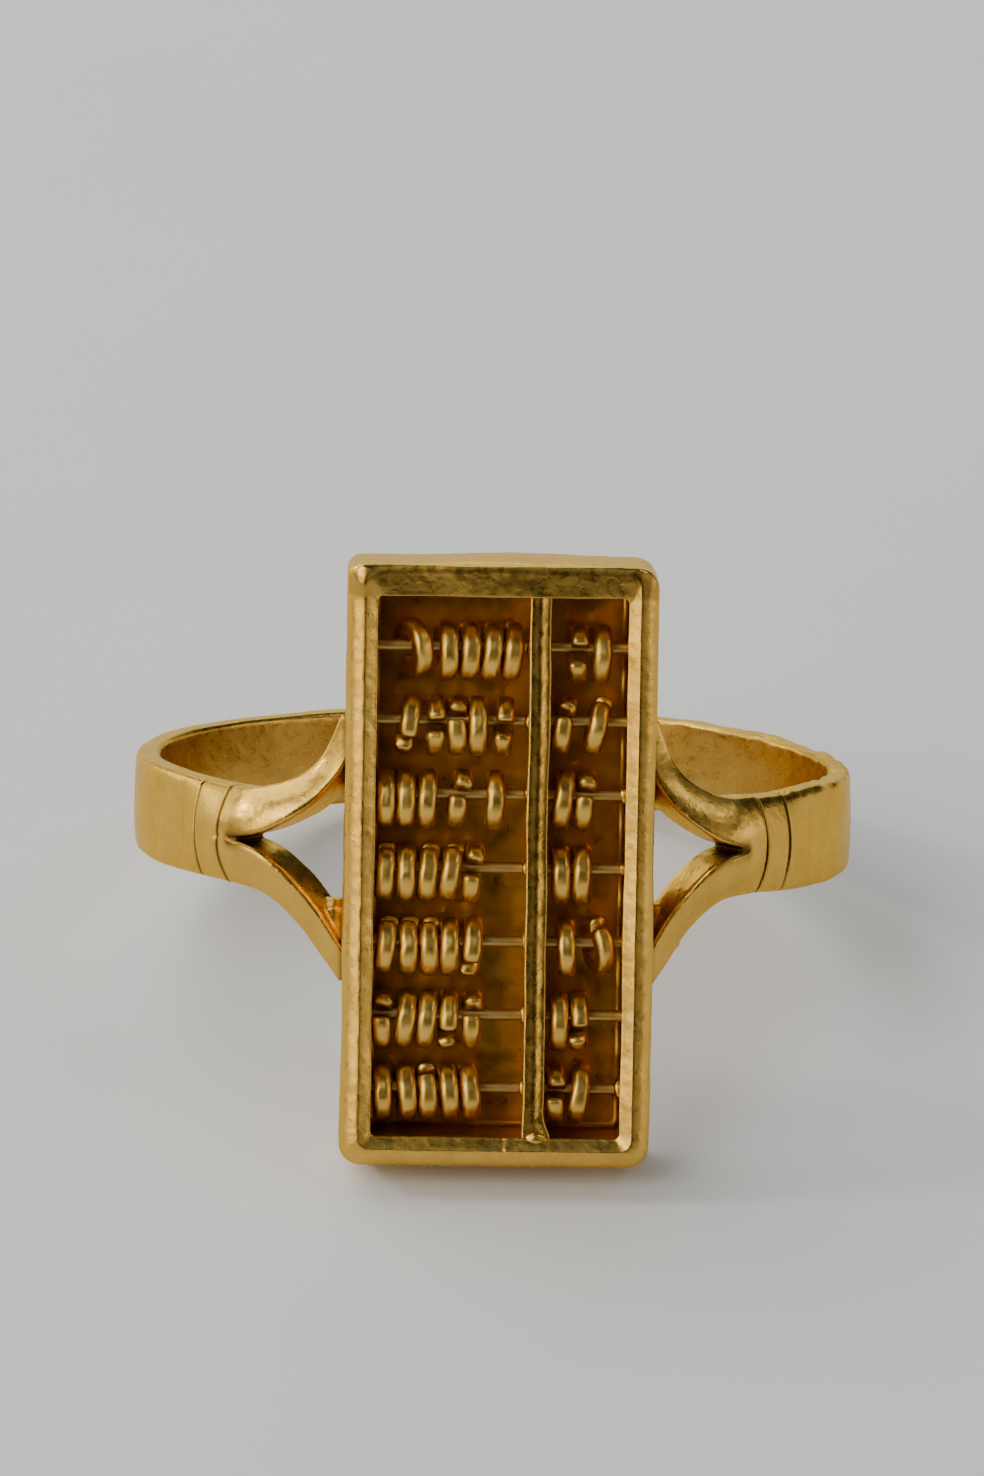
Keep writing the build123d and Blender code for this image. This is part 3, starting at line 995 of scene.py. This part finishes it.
def paper():
    """The pale floor."""
    material = bpy.data.materials.new("pale_paper")
    material.use_nodes = True
    nodes, links = material.node_tree.nodes, material.node_tree.links
    shader = nodes["Principled BSDF"]
    shader.inputs["Roughness"].default_value = 0.8
    shader.inputs["Specular IOR Level"].default_value = 0.2
    place = nodes.new("ShaderNodeTexCoord")
    grain = nodes.new("ShaderNodeTexNoise")
    grain.inputs["Scale"].default_value = 60
    grain.inputs["Detail"].default_value = 5
    links.new(place.outputs["Object"], grain.inputs["Vector"])
    ramp = nodes.new("ShaderNodeValToRGB")
    ramp.color_ramp.elements[0].position = 0.2
    ramp.color_ramp.elements[1].position = 0.8
    ramp.color_ramp.elements[0].color = (0.78, 0.795, 0.82, 1)
    ramp.color_ramp.elements[1].color = (0.82, 0.833, 0.855, 1)
    links.new(grain.outputs["Fac"], ramp.inputs["Fac"])
    links.new(ramp.outputs["Color"], shader.inputs["Base Color"])
    return material


# Stage, light and camera


def floor():
    """A pale sheet that fills the view. It ends in front of the ring, where the dark room begins."""
    left, right, front, back = -1.0, 1.0, -0.16, 1.4
    mesh = bpy.data.meshes.new("floor")
    mesh.from_pydata(
        [(left, front, 0), (right, front, 0), (right, back, 0), (left, back, 0)], [], [(0, 1, 2, 3)]
    )
    plane = bpy.data.objects.new("floor", mesh)
    plane.data.materials.append(paper())
    bpy.context.scene.collection.objects.link(plane)


# Studio lights: where each stands, its width and its height in metres, its power and its colour.
Light = namedtuple("Light", "name place width height power colour")
white = (1.0, 1.0, 1.0)
lights = (
    Light("key_back_left", (-0.3, 0.26, 0.5), 0.5, 0.5, 2.3, (1.0, 0.985, 0.955)),
    Light("side_left", (-0.5, -0.1, 0.24), 0.4, 0.4, 0.32, (1.0, 0.92, 0.8)),
    Light("glint_left", (-0.48, 0.04, 0.3), 0.08, 0.08, 0.6, (1.0, 0.97, 0.84)),
    Light("front_left", (-0.33, -0.33, 0.22), 0.36, 0.36, 0.65, (1.0, 0.95, 0.84)),
    Light("left_high", (-0.3, -0.3, 0.42), 0.3, 0.3, 0.95, (1.0, 0.99, 0.92)),
    Light("front_top", (0.03, -0.34, 0.46), 0.3, 0.3, 0.08, (0.6, 0.75, 1.0)),
    Light("right_top", (0.35, -0.05, 0.45), 0.14, 0.14, 0.2, white),
    Light("side_right", (0.5, -0.1, 0.24), 0.4, 0.4, 0.06, white),
    Light("front_right", (0.33, -0.33, 0.22), 0.3, 0.3, 0.12, (1.0, 0.93, 0.8)),
    Light("back_right", (0.3, 0.3, 0.45), 0.4, 0.4, 0.1, (0.8, 0.9, 1.0)),
    Light("back", (0.0, 0.58, 0.22), 0.4, 0.4, 0.9, (0.8, 0.9, 1.0)),
    Light("left_front_low", (-0.36, -0.39, 0.11), 0.38, 0.17, 0.27, (1.0, 0.87, 0.56)),
    Light("right_low", (0.5, -0.05, 0.10), 0.5, 0.17, 0.42, (1.0, 0.97, 0.88)),
    Light("left_back_low", (-0.42, 0.32, 0.10), 0.5, 0.17, 0.7, (0.98, 1.0, 0.88)),
)


def soft_box(name, place, width, height, power, colour):
    """A studio light that faces the ring."""
    light = bpy.data.lights.new(name, "AREA")
    light.shape = "RECTANGLE"
    light.size = width
    light.size_y = height
    light.energy = power
    light.color = colour
    lamp = bpy.data.objects.new(name, light)
    lamp.location = place
    lamp.rotation_mode = "QUATERNION"
    lamp.rotation_quaternion = (Vector(place) - hoop_centre).to_track_quat("Z", "Y")
    bpy.context.scene.collection.objects.link(lamp)


def room_light():
    """Dim even light from the room."""
    world = bpy.data.worlds.new("room")
    bpy.context.scene.world = world
    world.use_nodes = True
    back = world.node_tree.nodes["Background"]
    back.inputs["Color"].default_value = (1.0, 0.7, 0.5, 1)
    back.inputs["Strength"].default_value = 0.01


def camera():
    """The photograph's view, from a little above the plane of the hoop."""
    picture_width, picture_height = 984, 1476
    millimetres_per_pixel = 0.0291
    above, left, roll = radians(7.8), radians(1.1), radians(1.0)
    hoop_pixel = (493.0, 801.8)
    distance = 270.0
    long_side = 36.0
    back = Vector((-sin(left) * cos(above), -cos(left) * cos(above), sin(above)))
    up = Vector((-sin(roll), 0, cos(roll)))
    right = up.cross(back).normalized()
    up = back.cross(right)
    aim_right = (picture_width / 2 - hoop_pixel[0]) * millimetres_per_pixel
    aim_up = (hoop_pixel[1] - picture_height / 2) * millimetres_per_pixel
    place = back * distance + right * aim_right + up * aim_up + Vector((0, 0, hoop_rise))
    data = bpy.data.cameras.new("camera")
    data.sensor_width = long_side
    data.lens = long_side * distance / (picture_height * millimetres_per_pixel)
    data.clip_start, data.clip_end = 0.01, 10
    eye = bpy.data.objects.new("camera", data)
    turn = Matrix((right, up, back)).transposed().to_4x4()
    turn = Matrix.Rotation(-ring_lean, 4, "X") @ turn
    turn.translation = row_from_ring @ place
    eye.matrix_world = turn
    bpy.context.scene.collection.objects.link(eye)
    bpy.context.scene.camera = eye


body_gold = gold(
    "worn_gold", colour=(0.73, 0.445, 0.092), dark=(0.63, 0.365, 0.064), rough=(0.22, 0.38),
    scratch=0.6, pit=0.06, dent=6.0, scale=1.6,
)
# The tray's inside has its own darker, deeper orange copy of the gold: painted shade.
tray_gold_painted_shade = gold(
    "tray_gold_painted_shade", colour=(0.8, 0.445, 0.072), dark=(0.58, 0.28, 0.038), rough=(0.26, 0.4),
    scratch=0.4, pit=0.1, dent=1.5, scale=1.0,
)
bead_gold = gold(
    "bead_gold", colour=(0.8, 0.5, 0.115), dark=(0.67, 0.405, 0.078), rough=(0.29, 0.43),
    scratch=0.3, pit=0.1, dent=1.5, scale=2.0,
)
rod_gold = gold(
    "rod_gold", colour=(0.58, 0.38, 0.12), dark=(0.44, 0.27, 0.07), rough=(0.4, 0.5),
    scratch=0.5, pit=0.1, dent=0.3, scale=2.0,
)

ring_pieces = [
    hoop(),
    fork(crotch_left, groove_near_left, -1, "fork_left", 2),
    fork(crotch_right, groove_near_right, 1, "fork_right", 3),
    head(),
    divider(),
    solder(),
]
for piece in ring_pieces:
    place_in_row(piece, "ring", "ring_body", body_gold, tray_gold_painted_shade)
for row in range(rod_rows):
    for index, kind in enumerate(("five_beads", "two_beads")):
        node = f"{kind}_{row + 1}"
        bead_group(node, f"{node}_group", 100 * index + 10 * row, bead_gold)
    rod = frame["nodes"][f"rod_{row + 1}"]
    rod.data.materials.clear()
    rod.data.materials.append(rod_gold)

floor()
room_light()
for light in lights:
    soft_box(*light)
camera()
